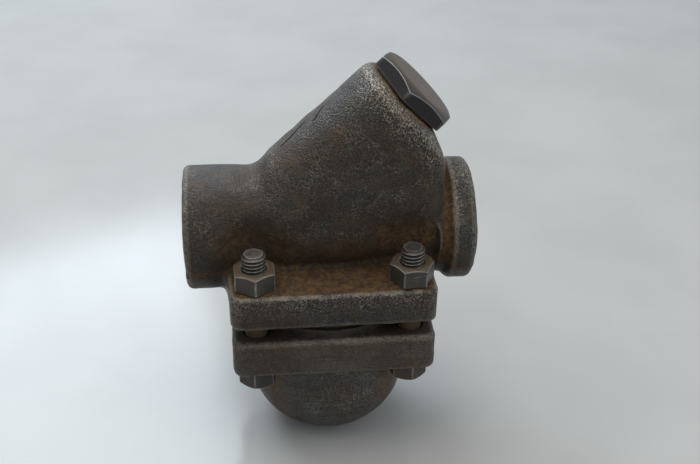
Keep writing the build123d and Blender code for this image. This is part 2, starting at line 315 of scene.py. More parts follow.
def turned(
    name: str,
    rows: list[tuple[Values | float, Values | float]],
    place: Matrix,
    count: int = 96,
    ring: bool = False,
    wear: list[Values | float] | None = None,
) -> bpy.types.Object:
    """Turns a profile whose radius may change round the axis.

    Args:
        name: The piece's name.
        rows: Radius and height of each row, upwards on the outside, one value or one a column.
        place: Where the piece's axis and foot stand, in millimetres.
        count: Columns round the axis.
        ring: Joins the last row to the first, for a piece with a hole.
        wear: How worn each row is, one value or one a column.

    Returns:
        A closed mesh object.
    """
    angle = columns_of(count)
    radii = np.array([np.broadcast_to(r, count) for r, _ in rows], float)
    heights = np.array([np.broadcast_to(z, count) for _, z in rows], float)
    local = np.stack([radii * np.cos(angle), radii * np.sin(angle), heights], -1).reshape(-1, 3)
    turn = np.array(place)
    points = local @ turn[:3, :3].T + turn[:3, 3]
    here = np.arange(len(rows) * count).reshape(len(rows), count)
    low, high = (here, np.roll(here, -1, axis=0)) if ring else (here[:-1], here[1:])
    quads = np.stack([low, np.roll(low, -1, 1), np.roll(high, -1, 1), high], -1).reshape(-1, 4).tolist()
    if not ring:
        quads += [here[0][::-1].tolist(), here[-1].tolist()]
    piece = make_object(name, points, quads)
    if wear is not None:
        worn = np.array([np.broadcast_to(w, count) for w in wear], np.float32)
        store(piece, "wear", worn.ravel())
    return piece


def broken_edge(radius: float, end: float, size: float) -> list[tuple[float, float]]:
    """Gives a drill's last rows, which break the hole's edge by size and leave the piece."""
    return [(radius, end - size), (radius + size, end), (radius + size + 1, end + 1)]


def store(piece: bpy.types.Object, name: str, values: Values) -> None:
    """Stores a value for each vertex, which a finish reads by its name."""
    layer = piece.data.attributes.get(name) or piece.data.attributes.new(name, "FLOAT", "POINT")
    layer.data.foreach_set("value", np.asarray(values, np.float32))


def vertices_of(piece: bpy.types.Object) -> Points:
    """Gives a piece's vertices in millimetres, one to a row.

    Args:
        piece: The piece.

    Returns:
        Its vertices.
    """
    points = np.zeros(len(piece.data.vertices) * 3, np.float32)
    piece.data.vertices.foreach_get("co", points)
    return points.reshape(-1, 3) / np.float32(MM)


def stand(foot: Vector, axis: Vector, across: Vector) -> Matrix:
    """Gives the place of a turned piece.

    Args:
        foot: Where its height is 0.
        axis: The way its height grows.
        across: Where its first column points.

    Returns:
        The place as a matrix.
    """
    up = axis.normalized()
    side = (across - up * across.dot(up)).normalized()
    frame_of = Matrix((side, up.cross(side), up)).transposed().to_4x4()
    frame_of.translation = foot
    return frame_of


def upright(x: float, y: float, z: float, turn_degrees: float = 0.0) -> Matrix:
    """Gives the place of a piece that stands upright at a point and is turned by an angle."""
    turn = math.radians(turn_degrees)
    return stand(Vector((x, y, z)), Vector((0, 0, 1)), Vector((math.cos(turn), math.sin(turn), 0)))


def cut(piece: bpy.types.Object, tools: list[bpy.types.Object]) -> None:
    """Cuts closed tools out of a closed piece, one after another, and removes the tools.

    Args:
        piece: The piece.
        tools: The tools, in the order of the cuts.
    """
    for tool in tools:
        step = piece.modifiers.new("cut", "BOOLEAN")
        step.operation = "DIFFERENCE"
        step.solver = "MANIFOLD"
        step.object = tool
        shape = piece.evaluated_get(bpy.context.evaluated_depsgraph_get())
        mesh = bpy.data.meshes.new_from_object(shape)
        piece.modifiers.clear()
        old = piece.data
        piece.data = mesh
        bpy.data.meshes.remove(old)
        bpy.data.objects.remove(tool)
    piece.data.name = piece.name


def crisp(piece: bpy.types.Object, degrees: float) -> None:
    """Shades a piece smooth, but for edges sharper than an angle."""
    piece.data.shade_smooth()
    piece.data.set_sharp_from_angle(angle=math.radians(degrees))


# ---- shader sums -------------------------------------------------------------------------------------


class Wire:
    """A number in a shader, which takes part in Python sums."""

    def __init__(self, kit: "Kit", socket: bpy.types.NodeSocket) -> None:
        """Wraps a node's output."""
        self.kit = kit
        self.socket = socket

    def sum_with(self, operation: str, first: Any, second: Any) -> "Wire":
        """Adds a Math node for one sum of two values."""
        return self.kit.wire("ShaderNodeMath", {"operation": operation}, {0: first, 1: second})

    def __add__(self, other: Any) -> "Wire":
        """Adds."""
        return self.sum_with("ADD", self, other)

    __radd__ = __add__

    def __sub__(self, other: Any) -> "Wire":
        """Takes other away."""
        return self.sum_with("SUBTRACT", self, other)

    def __rsub__(self, other: Any) -> "Wire":
        """Is taken away from other."""
        return self.sum_with("SUBTRACT", other, self)

    def __mul__(self, other: Any) -> "Wire":
        """Multiplies."""
        return self.sum_with("MULTIPLY", self, other)

    __rmul__ = __mul__

    def clamped(self) -> "Wire":
        """Stays from 0 to 1."""
        return self.between(0.0, 1.0, smooth=False)

    def between(self, low: float, high: float, smooth: bool = True) -> "Wire":
        """Rises from 0 at low to 1 at high.

        Args:
            low: Where the rise starts.
            high: Where it ends.
            smooth: Eases both ends.

        Returns:
            The clamped rise.
        """
        settings = {"interpolation_type": "SMOOTHSTEP" if smooth else "LINEAR"}
        return self.kit.wire("ShaderNodeMapRange", settings, {"Value": self, 1: low, 2: high})


class Kit:
    """Builds one material's nodes."""

    def __init__(self, name: str) -> None:
        """Starts an empty material.

        Args:
            name: The material's name.
        """
        self.material = bpy.data.materials.new(name)
        self.material.use_nodes = True
        self.tree = self.material.node_tree
        self.tree.nodes.clear()
        place = self.wire("ShaderNodeTexCoord", {}, {}, "Object")
        self.place = self.wire("ShaderNodeVectorMath", {"operation": "SCALE"}, {0: place, "Scale": 1 / MM})

    def node(self, kind: str, settings: dict[str, Any], sockets: dict[Any, Any]) -> bpy.types.Node:
        """Adds a node.

        Args:
            kind: The node's type.
            settings: Its properties, set first.
            sockets: Values or wires of its inputs, by name or number.

        Returns:
            The node.
        """
        node = self.tree.nodes.new(kind)
        for name, value in settings.items():
            setattr(node, name, value)
        for name, value in sockets.items():
            if isinstance(value, Wire):
                self.tree.links.new(value.socket, node.inputs[name])
            else:
                node.inputs[name].default_value = value
        return node

    def wire(self, kind: str, settings: dict[str, Any], sockets: dict[Any, Any], output: Any = 0) -> Wire:
        """Adds a node and wraps one of its outputs."""
        return Wire(self, self.node(kind, settings, sockets).outputs[output])

    def noise(self, per_mm: float, detail: float = 2.0, roughness: float = 0.55, stretch: Any = None) -> Wire:
        """Adds noise over the piece.

        Args:
            per_mm: How many features a millimetre holds.
            detail: Octaves.
            roughness: Strength of the finer octaves.
            stretch: Scale along each axis.

        Returns:
            The noise, mostly from 0.3 to 0.7.
        """
        place = self.place
        if stretch is not None:
            place = self.wire("ShaderNodeVectorMath", {"operation": "MULTIPLY"}, {0: place, 1: stretch})
        sockets = {"Vector": place, "Scale": per_mm, "Detail": detail, "Roughness": roughness}
        return self.wire("ShaderNodeTexNoise", {}, sockets)

    def cells(self, per_mm: float) -> Wire:
        """Adds the distance to scattered points, for pits."""
        return self.wire("ShaderNodeTexVoronoi", {"feature": "F1"}, {"Vector": self.place, "Scale": per_mm})

    def stored(self, name: str) -> Wire:
        """Reads a value stored on the vertices."""
        return self.wire("ShaderNodeAttribute", {"attribute_name": name}, {}, "Fac")

    def mix(self, first: Any, second: Any, share: Any) -> Wire:
        """Mixes two colours, each a wire or a colour.

        Args:
            first: The colour where share is 0.
            second: The colour where it is 1.
            share: How much of the second.

        Returns:
            The mixed colour.
        """
        ends = [c if isinstance(c, Wire) else (*c, 1.0) for c in (first, second)]
        sockets = {0: share, 6: ends[0], 7: ends[1]}
        return self.wire("ShaderNodeMix", {"data_type": "RGBA", "clamp_factor": True}, sockets, 2)

    def shaded(self, colour: Wire, strength: Wire) -> Wire:
        """Multiplies a colour by a number."""
        return self.wire("ShaderNodeVectorMath", {"operation": "SCALE"}, {0: colour, "Scale": strength})

    def bumped(self, height: Wire, depth_mm: float) -> Wire:
        """Adds relief.

        Args:
            height: Heights from 0 to 1.
            depth_mm: How deep a height of 1 is.

        Returns:
            The normal.
        """
        return self.wire("ShaderNodeBump", {}, {"Height": height, "Distance": depth_mm * MM, "Strength": 1.0})

    def finish(self, sockets: dict[str, Any], **fixed: float) -> bpy.types.Material:
        """Adds the surface shader and the output.

        Args:
            sockets: Wires that vary over the surface.
            fixed: Numbers of the shader's other sockets, with _ for a space.

        Returns:
            The material.
        """
        numbers = {name.replace("_", " "): value for name, value in fixed.items()}
        shader = self.wire("ShaderNodeBsdfPrincipled", {}, {**numbers, **sockets})
        self.node("ShaderNodeOutputMaterial", {}, {"Surface": shader})
        return self.material


# ---- finishes ------------------------------------------------------------------------------------------


@dataclass(frozen=True)
class ForgedSteel:
    """Dark, oily forged steel with fine bright grain, brown patches, worn edges and rust, with bright flecks that
    are partly painted highlight and soot-dark patches that are partly painted shade.
    """

    name: str
    steel: Colour = (0.046, 0.040, 0.033)
    brown: Colour = (0.046, 0.030, 0.019)
    worn: Colour = (0.48, 0.43, 0.35)
    rust: Colour = (0.185, 0.092, 0.018)
    dark_rust: Colour = (0.050, 0.021, 0.007)
    soot_and_shade: Colour = (0.007, 0.005, 0.004)
    bare: Colour = (0.13, 0.115, 0.10)
    roughness: float = 0.42
    metallic: float = 0.40
    streaks: float = 0.0

    def material(self) -> bpy.types.Material:
        """Builds the material.

        Returns:
            A material that reads wear, polish, rust, grime and bare from the vertices.
        """
        kit = Kit(self.name)
        grain = kit.noise(1.15, 2.0, 0.75)
        fine = kit.noise(2.7, 1.0, 0.6)
        patch = kit.noise(0.05, 3.0, 0.6).between(0.40, 0.62)
        blotch = kit.noise(0.14, 4.0, 0.62)
        pits = (1 - kit.cells(1.1).between(0.10, 0.38)) * kit.noise(0.33, 2.0).between(0.50, 0.64)
        names = ("wear", "polish", "rust", "grime", "bare")
        wear, polish, rust, grime, bare = (kit.stored(name) for name in names)

        colour = kit.mix(self.steel, self.brown, patch)
        speckle = grain * 0.5 + fine * 0.5
        streak = kit.noise(0.9, 3.0, 0.6, (0.06, 0.06, 1.0)).between(0.38, 0.62) * self.streaks
        colour = kit.shaded(colour, 0.22 + speckle.between(0.38, 0.64) * 1.05 + blotch * 0.35 + streak)
        # Bright worn-colour flecks follow the stored polish: partly handling wear, partly painted highlight where
        # ridges and rims catch the light.
        spread = (blotch.between(0.42, 0.66) * 0.25 + polish * (0.45 + blotch)).clamped()
        flecks = speckle.between(0.50, 0.61) * spread
        colour = kit.mix(colour, self.worn, flecks * 0.78)
        colour = kit.mix(colour, self.soot_and_shade, pits * 0.6)
        stain = kit.noise(0.09, 4.0, 0.65).between(0.50, 0.66) * 0.30
        rusty = (rust * (0.30 + blotch * 1.35) + stain).clamped()
        rust_tone = kit.mix(self.dark_rust, self.rust, kit.noise(0.55, 5.0, 0.72).between(0.38, 0.66))
        colour = kit.mix(colour, rust_tone, rusty * 0.85)
        worn = (wear * (speckle * 3.0 + blotch * 0.8 - 1.45)).clamped()
        colour = kit.mix(colour, self.worn, worn * 0.8)
        # Painted shade: the soot colour darkens the gap between the flanges, the scored lines, the lower parts and
        # the hollows.
        colour = kit.mix(colour, self.soot_and_shade, grime * 0.7)
        colour = kit.mix(colour, self.bare, bare * 0.85)

        relief = grain * 0.9 + fine * 0.5 - pits * 0.5 + blotch * 0.45 + streak * 0.5
        sockets = {
            "Base Color": colour,
            "Roughness": (self.roughness - 0.10 + grain * 0.2 + rusty * 0.35 - worn * 0.12).clamped(),
            "Metallic": (self.metallic * (1 - rusty) + worn * 0.40 + flecks * 0.35).clamped(),
            "Normal": kit.bumped(relief, 0.55),
        }
        return kit.finish(sockets)


@dataclass(frozen=True)
class MachinedSteel:
    """Blackened machined steel with soft mottling, bright worn edges and a little rust."""

    name: str
    steel: Colour = (0.040, 0.038, 0.037)
    brown: Colour = (0.058, 0.046, 0.036)
    worn: Colour = (0.50, 0.47, 0.43)
    rust: Colour = (0.085, 0.048, 0.016)
    rusted: float = 0.25
    roughness: float = 0.40
    metallic: float = 0.55
    relief: float = 0.10

    def material(self) -> bpy.types.Material:
        """Builds the material.

        Returns:
            A material that reads wear and rust from the vertices.
        """
        kit = Kit(self.name)
        grain = kit.noise(2.6, 3.0, 0.6)
        cloud = kit.noise(0.12, 3.0, 0.6)
        specks = kit.noise(1.1, 3.0, 0.7)
        scratch = kit.noise(0.8, 2.0, 0.5, (0.25, 3.0, 3.0)).between(0.60, 0.72)
        wear, rust = kit.stored("wear"), kit.stored("rust")
        colour = kit.mix(self.steel, self.brown, cloud.between(0.35, 0.65))
        colour = kit.shaded(colour, 0.30 + grain * 0.85 + cloud * 0.55)
        colour = kit.mix(colour, self.worn, scratch * 0.16)
        spots = specks.between(0.60 - 0.2 * self.rusted, 0.78) * self.rusted * 2
        rusty = (spots + rust * (0.35 + specks * 1.2)).clamped()
        colour = kit.mix(colour, self.rust, rusty * 0.85)
        worn = (wear * (grain * 1.6 + cloud * 1.4 - 0.75)).clamped()
        colour = kit.mix(colour, self.worn, worn * 0.85)
        sockets = {
            "Base Color": colour,
            "Roughness": (self.roughness - 0.08 + grain * 0.16 + rusty * 0.35 - worn * 0.10).clamped(),
            "Metallic": (self.metallic * (1 - rusty) + worn * 0.3).clamped(),
            "Normal": kit.bumped(grain * 0.6 + cloud * 0.3 - specks * 0.2, self.relief),
        }
        return kit.finish(sockets)


@dataclass(frozen=True)
class BrightMetal:
    """Clean stainless or bimetal with fine brushing and faint tarnish."""

    name: str
    metal: Colour
    tarnish: Colour
    roughness: float = 0.28

    def material(self) -> bpy.types.Material:
        """Builds the material.

        Returns:
            A material with no stored values.
        """
        kit = Kit(self.name)
        brush = kit.noise(1.6, 3.0, 0.6, (0.3, 0.3, 6.0))
        cloud = kit.noise(0.25, 3.0, 0.6)
        colour = kit.mix(self.metal, self.tarnish, cloud.between(0.40, 0.70))
        sockets = {
            "Base Color": kit.shaded(colour, 0.75 + brush * 0.5),
            "Roughness": (self.roughness - 0.08 + cloud * 0.3).clamped(),
            "Normal": kit.bumped(brush, 0.02),
        }
        return kit.finish(sockets, Metallic=0.95)


@dataclass(frozen=True)
class GasketSheet:
    """Grey graphite sheet, or a soft metal washer gone brown."""

    name: str
    base: Colour
    stain: Colour
    metallic: float
    roughness: float = 0.7

    def material(self) -> bpy.types.Material:
        """Builds the material.

        Returns:
            A material with no stored values.
        """
        kit = Kit(self.name)
        flake = kit.noise(1.8, 4.0, 0.65)
        cloud = kit.noise(0.35, 3.0, 0.65)
        colour = kit.mix(self.base, self.stain, cloud.between(0.38, 0.62))
        sockets = {
            "Base Color": kit.shaded(colour, 0.5 + flake),
            "Roughness": (self.roughness - 0.1 + flake * 0.25).clamped(),
            "Normal": kit.bumped(flake * 0.6 + cloud * 0.4, 0.06),
        }
        return kit.finish(sockets, Metallic=self.metallic)


@dataclass(frozen=True)
class PaleFloor:
    """A pale, slightly glossy table top with faint smears."""

    name: str = "pale_floor"
    base: Colour = (0.465, 0.458, 0.440)
    smear: Colour = (0.43, 0.424, 0.408)
    roughness: float = 0.15

    def material(self) -> bpy.types.Material:
        """Builds the material.

        Returns:
            A material with no stored values.
        """
        kit = Kit(self.name)
        cloud = kit.noise(0.012, 3.0, 0.5)
        streak = kit.noise(0.05, 4.0, 0.6, (1.0, 0.35, 1.0))
        sockets = {
            "Base Color": kit.mix(self.base, self.smear, cloud.between(0.3, 0.7)),
            "Roughness": (self.roughness - 0.05 + streak * 0.1).clamped(),
        }
        return kit.finish(sockets, Metallic=0.0, Specular_IOR_Level=0.30)


def dress(piece: bpy.types.Object, material: bpy.types.Material) -> None:
    """Gives the whole piece one material."""
    piece.data.materials.clear()
    piece.data.materials.append(material)


def place_piece(piece: bpy.types.Object, finish: bpy.types.Material, body: str, node: str) -> None:
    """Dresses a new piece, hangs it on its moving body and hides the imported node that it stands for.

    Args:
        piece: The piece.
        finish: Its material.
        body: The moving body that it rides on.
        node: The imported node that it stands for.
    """
    dress(piece, finish)
    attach(piece, body)
    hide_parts(node)
    log.info("%s: %d vertices, on %s", piece.name, len(piece.data.vertices), body)


# ---- forged body ---------------------------------------------------------------------------------------


@dataclass(frozen=True)
class BoltedJoint:
    """Sizes that the body and the bowl share, in millimetres."""

    half_length: float = 41.2
    half_depth: float = 40.0
    corner: float = 4.5
    lower_edge: float = 1.0
    raised_radius: float = 36.5
    raised_height: float = 2.55
    hole_radius: float = 5.2
    hole_break: float = 0.5

    def plate(self, points: Points, bottom: float, top: float, extra: float, edge: float) -> Values:
        """Distances to a flange.

        Args:
            points: Places, one to a row.
            bottom: The flange's underside.
            top: Its upper side.
            extra: How far its inlet side slants out to the rear.
            edge: Radius of its upper edges.

        Returns:
            Distances to the flange, whose lower edges are nearly sharp.
        """
        x, y, z = points.T
        half_x, half_y = self.half_length, self.half_depth
        outline = rounded_slab(x + extra / 2, y, half_x + extra / 2, half_y, self.corner)
        if extra:
            slant = -((x + half_x) * 2 * half_y + (y + half_y) * extra) / math.hypot(2 * half_y, extra)
            outline = rounded_both(outline, slant, self.corner)
        return rounded_both(rounded_both(outline, z - top, edge), bottom - z, self.lower_edge)

    def holes(self, places: Places, low: float, high: float) -> list[bpy.types.Object]:
        """Makes the tools that drill the four bolt holes from low to high, edges broken.

        Args:
            places: Where the bolts stand.
            low: The holes' lower end.
            high: Their upper end.

        Returns:
            The four tools.
        """
        lead = self.hole_radius + self.hole_break
        rows = [(lead + 1, -1.0), (lead, 0.0), (self.hole_radius, self.hole_break)]
        rows += [(r, high - low - z) for r, z in reversed(rows)]
        return [turned("hole", rows, upright(x, y, low), 48) for x, y in places.bolts.values()]


@dataclass(frozen=True)
class ForgedBody:
    """The forging: two sockets, the strainer branch and its chest, and the upper flange."""

    places: Places
    joint: BoltedJoint
    cell: float = 0.86
    socket_radius: float = 25.5
    socket_rim: float = 2.6
    inlet_neck: tuple[float, float] = (-37.0, -17.0)
    inlet_neck_radius: float = 20.0
    inlet_end: float = -16.0
    inlet_blend: float = 10.0
    outlet_valley: float = 48.0
    outlet_neck_radius: float = 22.5
    outlet_neck_length: float = 6.0
    outlet_blend: float = 3.0
    branch_foot_x: float = -23.7
    branch_radii: tuple[float, float] = (23.7, 20.7)
    branch_rim: float = 4.6
    chest_half: tuple[float, float, float] = (17.0, 23.8, 20.9)
    chest_widest: float = 8.0
    chest_left: float = -31.0
    chest_top: float = 66.0
    chest_below_flange_top: float = 2.0
    shoulder_x: float = 45.5
    shoulder_round: float = 9.0
    flange_thickness: float = 15.3
    flange_slant: float = 4.6
    flange_edge: float = 1.6
    flange_blend: float = 3.5
    lump_depth: float = 3.0
    pocket_radius: float = 12.6
    pocket_top: float = 11.0
    pocket_round: float = 12.0
    pocket_blend: float = 12.0
    port_radius: float = 10.0
    port_depth: float = 6.0
    screen_seat: float = 10.0
    screen_seat_depth: float = 3.0
    screen_radius: float = 10.45
    chamber_radius: float = 12.4
    thread_radius: float = 13.55
    thread_depth: float = 13.5
    recess_radius: float = 26.0
    recess_depth: float = 6.0
    seat_thread_radius: float = 6.05
    seat_thread_length: float = 6.0
    valve_room_radius: float = 5.2
    valve_room_height: float = 9.2
    way_radius: float = 5.5
    way_drop: float = 8.5
    drop_radius: float = 3.5
    drop_place: tuple[float, float] = (-4.0, 13.5)
    drop_top: float = 20.0
    # The scriber's section: how far to the side, and how high above the skin.
    line_rows: tuple[tuple[float, float], ...] = ((-1.5, 3.0), (-0.18, -1.0), (0.18, -1.0), (1.5, 3.0))
    # Each scored line's start along the branch, its length, its side and how far it drifts.
    lines: tuple[tuple[float, ...], ...] = ((27.9, 15.6, 2.7, -2.2), (45.3, 8.4, 4.5, -4.1))

    @property
    def foot(self) -> Vector:
        """Where the branch's axis leaves the run's."""
        return Vector((self.branch_foot_x, 0, self.places.run_height))

    @property
    def branch_end(self) -> float:
        """How far along the branch its end face lies."""
        return (self.places.cap_seat - self.foot).length - self.places.cap_gasket_thickness

    @property
    def flange_bottom(self) -> float:
        """The flange's underside."""
        return self.places.flange_top - self.flange_thickness

    def branch_place(self, along: float) -> Matrix:
        """The place of a piece that is turned on the branch's axis."""
        axis = self.places.branch_axis
        return stand(self.foot + axis * along, axis, Vector((-axis.z, 0, axis.x)))

    def along_and_across(self, x: Values, z: Values) -> tuple[Values, Values]:
        """Distances along the branch, and across it towards the inlet.

        Args:
            x: Places along the run.
            z: Heights.

        Returns:
            The distances from the branch's foot along its axis, and off it.
        """
        axis = self.places.branch_axis
        run_x, run_z = x - self.foot.x, z - self.foot.z
        return run_x * axis.x + run_z * axis.z, run_z * axis.x - run_x * axis.z

    def branch_radius(self, along: Values | float) -> Values | float:
        """Gives the branch's radius, which tapers towards its end."""
        foot, end = self.branch_radii
        return foot + (end - foot) * along / self.branch_end

    def chest(self, x: Values, y: Values, z: Values) -> Values:
        """Distances to the branch and the slab beside it.

        Args:
            x: Places along the run.
            y: Places across it.
            z: Heights.

        Returns:
            Distances to the two, as one shape.
        """
        along, across = self.along_and_across(x, z)
        neck, widest, top = self.chest_half
        widest_at = self.places.run_height + self.chest_widest
        rise = np.clip((z - widest_at) / (self.chest_top - self.chest_widest), 0, 1.1)
        fall = np.clip((widest_at - z) / (widest_at - self.places.flange_top), 0, 1)
        half = widest - (widest - top) * rise - (widest - neck) * fall**2
        section = np.hypot(np.maximum(across, 0) * half / self.branch_radius(along), y) - half
        slab = rounded_both(section, along - self.branch_end, self.branch_rim)
        slab = rounded_both(slab, x - self.shoulder_x, self.shoulder_round)
        slab = rounded_both(slab, self.chest_left - x, self.shoulder_round)
        return np.maximum(slab, self.places.flange_top - self.chest_below_flange_top - z)

    def barrel(self, wall: Values, x: Values, low: float, high: float) -> Values:
        """Distances to a length of a round wall along the run, with rounded rims."""
        return rounded_both(wall, np.abs(x - (low + high) / 2) - (high - low) / 2, self.socket_rim)

    def sockets(self, x: Values, y: Values, z: Values) -> tuple[Values, Values]:
        """Distances to the inlet socket and to the outlet socket.

        Args:
            x: Places along the run.
            y: Places across it.
            z: Heights.

        Returns:
            Distances to each.
        """
        run = np.hypot(y, z - self.places.run_height)
        wall = run - self.socket_radius
        end, valley = self.places.half_run, self.outlet_valley
        neck_in = (self.socket_radius - self.inlet_neck_radius) * ease(x, *self.inlet_neck)
        inlet = self.barrel(wall + neck_in, x, -end, self.inlet_end)
        lip = self.barrel(wall, x, valley, end)
        neck_middle = (valley + end) / 2 - self.outlet_neck_length
        neck = np.maximum(run - self.outlet_neck_radius, np.abs(x - neck_middle) - (end - valley) / 2)
        return inlet, smooth_union(lip, neck, self.outlet_blend)

    def smooth(self, points: Points) -> Values:
        """Distances to the forging without its lumps.

        Args:
            points: Places, one to a row.

        Returns:
            Distances to the forging.
        """
        x, y, z = points.T
        top, places = self.places.flange_top, self.places
        inlet, outlet = self.sockets(x, y, z)
        upper = smooth_union(self.chest(x, y, z), outlet, self.outlet_blend)
        upper = smooth_union(upper, inlet, self.inlet_blend)
        for bolt_x, bolt_y in places.bolts.values():
            side = np.hypot(x - bolt_x, y - bolt_y) - self.pocket_radius
            roof = z - places.run_height - self.pocket_top
            upper = smooth_cut(upper, rounded_both(side, roof, self.pocket_round), self.pocket_blend)
        middle = (top + self.flange_bottom) / 2
        plate = self.joint.plate(points, self.flange_bottom, top, self.flange_slant, self.flange_edge)
        whole = smooth_union(upper, plate, self.flange_blend)
        face = np.maximum(np.hypot(x, y) - self.joint.raised_radius, places.body_face - z)
        return np.minimum(whole, np.maximum(face, z - middle))

    def forged(self, points: Points) -> Values:
        """Distances to the forging with its lumps and the chipped edge of its flange.

        Args:
            points: Places, one to a row.

        Returns:
            Distances to the forging, exact only near its skin.
        """
        field = self.smooth(points)
        near = np.abs(field) < self.lump_depth
        spots = points[near]
        y, z, top = spots[:, 1], spots[:, 2], self.places.flange_top
        lumps = Lumps(3).at(spots, 11.0) * 0.22 + Lumps(4).at(spots, 4.2) * 0.14
        # The chips' lumps are drawn out along y and z, so that each bites the whole width of the edge.
        edge = ease(np.abs(y), 36.0, 40.0) * ease(z, top - 5.0, top) * (z < top + 2)
        chips = edge * (0.50 + 1.55 * Lumps(5).at(spots * np.array([1, 0.2, 0.2], np.float32), 3.2))
        machined = z < self.flange_bottom - 0.3
        field[near] += np.where(machined, 0.0, lumps + np.maximum(chips, 0) + 0.08)
        return field

    def run_bore(self, side: int) -> bpy.types.Object:
        """Makes the tool that bores one socket, the inlet at side -1 or the outlet at side 1.

        Args:
            side: Which way along the run the socket looks.

        Returns:
            The tool.
        """
        places, port, bore = self.places, self.port_radius, self.places.bore_radius
        reach = places.half_run - places.bore_depth
        start = -self.branch_foot_x if side < 0 else reach - self.port_depth
        rows = [(port, 0.0), (port, reach - start), (bore, reach - start)]
        rows += broken_edge(bore, places.half_run - start, 0.8)
        foot = Vector((side * start, 0, places.run_height))
        return turned("bore", rows, stand(foot, Vector((side, 0, 0)), Vector((0, 1, 0))))

    def branch_bore(self) -> bpy.types.Object:
        """Makes the tool that bores the branch, from its round bottom to the cap's thread.

        Returns:
            The tool.
        """
        port, screen = self.port_radius, self.screen_radius
        chamber, thread = self.chamber_radius, self.thread_radius
        seat, end = self.screen_seat, self.branch_end
        seat_top, thread_low = seat + self.screen_seat_depth, end - self.thread_depth
        ball = [math.radians(a) for a in range(-88, 0, 11)]
        rows = [(port * math.cos(a), port * math.sin(a)) for a in ball]
        rows += [(port, 0.0), (port, seat), (screen, seat), (screen, seat_top), (chamber, seat_top)]
        rows += [(chamber, thread_low), (thread, thread_low), *broken_edge(thread, end, 0.7)]
        return turned("strainer_bore", rows, self.branch_place(0))

    def valve_bores(self) -> list[bpy.types.Object]:
        """Makes the tools of the recess, the two ways down to it and the way out of it.

        Returns:
            The tools.
        """
        places, height = self.places, self.places.run_height
        recess, seat, room = self.recess_radius, self.seat_thread_radius, self.valve_room_radius
        ceiling = self.flange_bottom + self.recess_depth
        thread_end = ceiling + self.seat_thread_length
        rows = [(recess + 1.5, places.body_face - 1), (recess, places.body_face + 0.5), (recess, ceiling)]
        rows += [(seat, ceiling), (seat, thread_end), (room, thread_end)]
        rows += [(room, thread_end + self.valve_room_height)]
        tools = [turned("recess", rows, upright(0, 0, 0))]
        drop_x, drop_y = self.drop_place
        rows = [(self.drop_radius, ceiling - 1), (self.drop_radius, height + self.drop_top)]
        tools += [turned("drop_way", rows, upright(drop_x, y, 0), 32) for y in (-drop_y, drop_y)]
        start = Vector((0, 0, height - self.way_drop))
        way = Vector((places.half_run - places.bore_depth - self.port_depth / 2, 0, height)) - start
        rows = [(self.way_radius, 0.0), (self.way_radius, way.length)]
        tools.append(turned("outlet_way", rows, stand(start, way, Vector((0, 1, 0))), 48))
        return tools

    def line_cuts(self) -> list[bpy.types.Object]:
        """Makes the tools that score the two thin lines along the branch's top.

        Returns:
            The tools.
        """
        tools = []
        rings, sides = 9, len(self.line_rows)
        for start, length, side, drift in self.lines:
            points = []
            for share in np.linspace(0, 1, rings):
                middle = self.branch_place(start + length * share)
                sway = side + drift * share + 0.3 * math.sin(5 * share)
                surface = math.sqrt(self.branch_radius(start + length * share) ** 2 - sway**2)
                full = 1 - (2 * share - 1) ** 6
                for out, lift in self.line_rows:
                    height = surface + (lift if lift > 0 else lift * full + 0.8 * (1 - full))
                    points.append(middle @ Vector((height, sway + out, 0)))
            last = (rings - 1) * sides
            faces = [list(range(sides)), list(range(last + sides - 1, last - 1, -1))]
            for ring, k in product(range(rings - 1), range(sides)):
                a, b = sides * ring + k, sides * ring + (k + 1) % sides
                faces.append([a, a + sides, b + sides, b])
            tool = make_object("line", np.array(points), faces)
            closed = bmesh.new()
            closed.from_mesh(tool.data)
            bmesh.ops.recalc_face_normals(closed, faces=closed.faces)
            closed.to_mesh(tool.data)
            closed.free()
            tools.append(tool)
        return tools

    def weather(self, piece: bpy.types.Object) -> None:
        """Stores where the forging is worn, rusty, grimy and machined, and where highlight and shade are painted
        on.

        Args:
            piece: The bored forging.
        """
        points = vertices_of(piece)
        x, y, z = points.T
        places, bolts = self.places, self.places.bolts.values()
        bottom, top, height, end = self.flange_bottom, places.flange_top, places.run_height, self.branch_end
        depth = self.smooth(points)
        bend, broad = (curvature(self.smooth, points, step) for step in (1.2, 4.0))
        along, across = self.along_and_across(x, z)
        from_bolts = [np.hypot(x - bolt_x, y - bolt_y) for bolt_x, bolt_y in bolts]

        bare = cut_open(-depth)
        store(piece, "bare", bare)
        store(piece, "wear", ease(bend, 0.14, 0.42) * (1 - bare) * (1 - 0.5 * ease(np.abs(x), 48, 54)))

        # Bright flecks on the broad upper ridges, the branch's rim and the flange's front and rear: partly
        # handling polish, partly painted highlight where these catch the light.
        ridge = ease(broad, 0.035, 0.12) * ease(z, height - 4, height + 20) * fade(np.abs(x), 48, 56)
        ridge *= ease(np.min(from_bolts, axis=0), 16.0, 24.0)
        rim = 0.9 * ease(along, end - 14, end - 2)
        side = places.flange_high.y
        front = 0.6 * ease(z, bottom + 2, top - 3) * ease(np.abs(y), side - 3, side - 1) * (z < top + 1)
        store(piece, "polish", (1 - bare) * np.max([ridge, rim, front], axis=0))

        # Darker in the hollows, and painted shade in the gap between the flanges, in the scored lines and on the
        # lower chest.
        gap = fade(z, bottom - 0.4, bottom + 0.6)
        scored = ease(-depth, 0.42, 0.60) * fade(-depth, 0.95, 1.1) * ease(along, 24.0, 27.0)
        hollow = ease(-bend, 0.10, 0.55) * np.where(np.abs(x - self.outlet_valley) < 5, 0.25, 0.7)
        shade = 0.36 * fade(z, top + 2, height + 2)
        store(piece, "grime", np.max([hollow, gap, scored, shade], axis=0))

